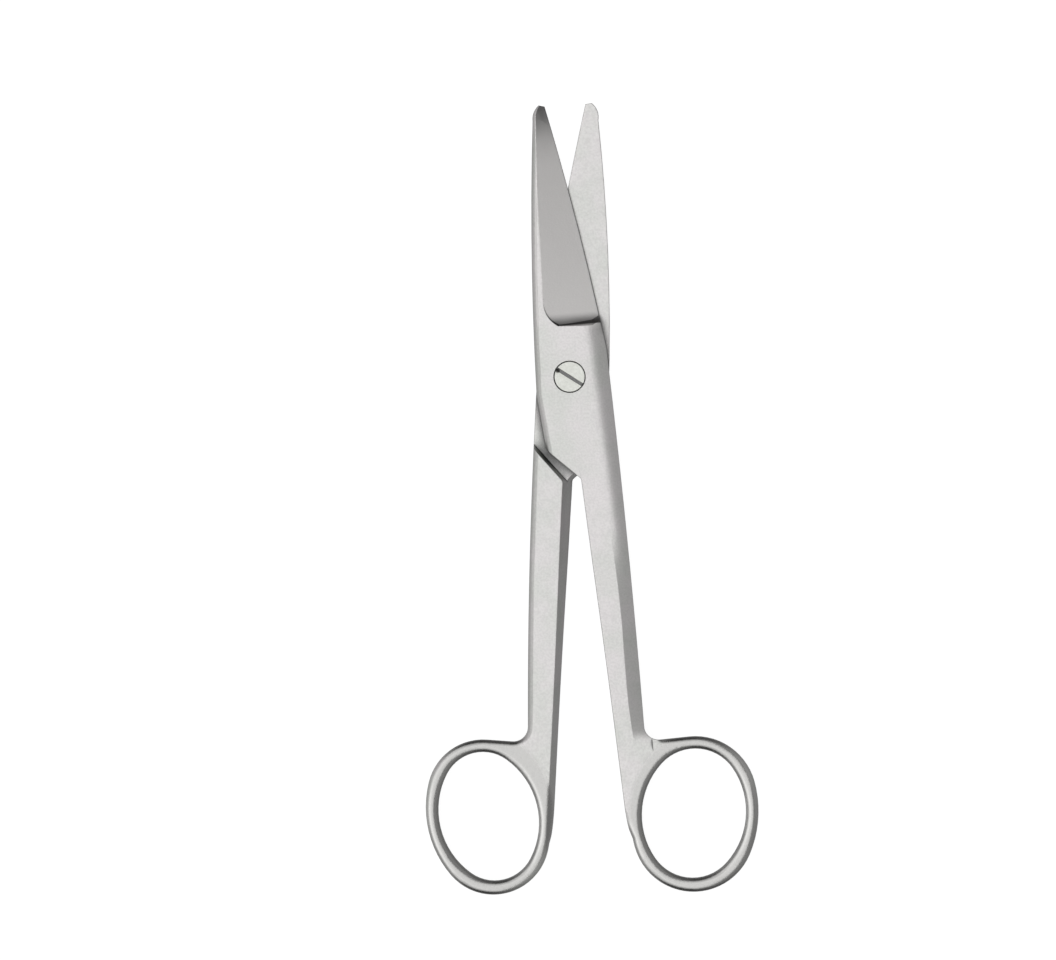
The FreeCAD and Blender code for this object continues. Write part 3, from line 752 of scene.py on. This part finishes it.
@dataclass(frozen=True)
class SoftBoxes:
    """The light round the scissors, by the angle from overhead towards the right, in degrees.

    A bright box stands overhead and to the left, and a dim room surrounds the rest.  Both
    fade towards the tips and the rings, and the camera sees a plain pale backdrop.
    """

    box: Stops = (
        (-180.0, 0.0), (-75.0, 0.35), (-50.0, 0.8), (-32.0, 1.0), (-20.0, 0.75),
        (-5.0, 0.75), (8.0, 0.92), (19.0, 0.0), (180.0, 0.0),
    )
    box_strength: float = 1.25
    box_fade: Band = (0.6, 0.94)
    room: Stops = (
        (-180.0, 0.22), (-120.0, 0.22), (-90.0, 0.06), (12.0, 0.06),
        (30.0, 0.37), (50.0, 0.36), (90.0, 0.26), (140.0, 0.25), (180.0, 0.22),
    )
    room_fade: Band = (0.6, 1.0)
    room_end: float = 0.43
    backdrop: float = 0.88

    def build(self) -> bpy.types.World:
        """Builds the light as a world.

        Returns:
            The new world.
        """
        world = bpy.data.worlds.new("studio_light")
        world.use_nodes = True
        wiring = Wiring(world.node_tree)
        direction = wiring.add("ShaderNodeTexCoord").outputs["Generated"]
        x, y, z = wiring.split(direction)
        turn = wiring.maths("ARCTAN2", x, z)
        along = wiring.maths("ABSOLUTE", y)
        lit = wiring.ramp(along, self.box_fade, (self.box_strength, 0.0))
        dimmed = wiring.ramp(along, self.room_fade, (1.0, self.room_end))
        level = wiring.maths(
            "ADD", wiring.product(self.profile(wiring, turn, self.box), lit),
            wiring.product(self.profile(wiring, turn, self.room), dimmed))
        seen = wiring.add("ShaderNodeLightPath").outputs["Is Camera Ray"]
        level = wiring.maths("ADD", wiring.product(level, wiring.rest(seen)),
                             wiring.product(seen, self.backdrop))
        background = world.node_tree.nodes["Background"]
        background.inputs["Color"].default_value = (*WHITE, 1.0)
        wiring.join(level, background.inputs["Strength"])
        return world

    def profile(self, wiring: Wiring, turn: Socket, stops: Stops) -> Socket:
        """Brightness by the angle from overhead.

        Args:
            wiring: The world's tree.
            turn: The angle in radians.
            stops: Angles in degrees, each with its brightness.

        Returns:
            The brightness's socket.
        """
        share = wiring.maths("ADD", wiring.maths("DIVIDE", turn, math.tau), 0.5)
        node = wiring.add("ShaderNodeValToRGB")
        wiring.join(share, node.inputs[0])
        node.color_ramp.interpolation = "EASE"
        elements = node.color_ramp.elements
        elements.remove(elements[1])
        for number, (angle, brightness) in enumerate(stops):
            element = elements.new(angle / 360.0 + 0.5) if number else elements[0]
            element.color = (brightness, brightness, brightness, 1.0)
        return node.outputs["Color"]


@dataclass
class Studio:
    """Pale floor, soft light and the camera over the scissors."""

    photo_width: float = 0.2258
    centre: tuple[float, float, float] = (-0.008875, -0.02203, 0.004)
    lens: float = 180.0
    sensor: float = 36.0
    nearest: float = 0.05
    floor_size: float = 6.0
    floor_drop: float = 0.0002
    floor_tone: float = 0.22
    floor_glow: float = 0.93

    def build(self) -> None:
        """Makes the whole studio."""
        self.add_floor()
        bpy.context.scene.world = SoftBoxes().build()
        self.add_camera()

    def add_floor(self) -> None:
        """A plain white floor just under the resting face, which the steel doesn't mirror."""
        half = self.floor_size / 2
        corners = [(-half, -half), (half, -half), (half, half), (-half, half)]
        mesh = bpy.data.meshes.new("floor")
        mesh.from_pydata([(x, y, -self.floor_drop) for x, y in corners], [], [(0, 1, 2, 3)])
        floor = bpy.data.objects.new("floor", mesh)
        bpy.context.scene.collection.objects.link(floor)
        material = bpy.data.materials.new("floor_white")
        material.use_nodes = True
        shader = material.node_tree.nodes["Principled BSDF"]
        shader.inputs["Base Color"].default_value = (*(self.floor_tone,) * 3, 1.0)
        shader.inputs["Roughness"].default_value = 1.0
        shader.inputs["Specular IOR Level"].default_value = 0.0
        shader.inputs["Emission Color"].default_value = (*WHITE, 1.0)
        shader.inputs["Emission Strength"].default_value = self.floor_glow
        mesh.materials.append(material)
        floor.visible_glossy = False

    def add_camera(self) -> None:
        """The camera straight above, framed as the photograph is."""
        lens = bpy.data.cameras.new("camera")
        lens.lens = self.lens
        lens.sensor_width = self.sensor
        lens.clip_start = self.nearest
        camera = bpy.data.objects.new("camera", lens)
        x, y, z = self.centre
        camera.location = (x, y, z + self.photo_width * self.lens / self.sensor)
        bpy.context.scene.collection.objects.link(camera)
        bpy.context.scene.camera = camera


def main() -> None:
    """Dresses every piece and sets up the studio."""
    logging.basicConfig(level=logging.INFO, format="%(message)s")
    bpy.context.scene.view_settings.view_transform = "Standard"
    pieces = (
        SteelPiece("front_half", "forged_steel", FORGED_FINISH),
        SteelPiece("rear_half", "forged_steel", FORGED_FINISH),
        SteelPiece("pivot_screw", "screw_steel", SCREW_FINISH),
    )
    for piece in pieces:
        piece.dress()
    Studio().build()


if __name__ == "__main__":
    main()
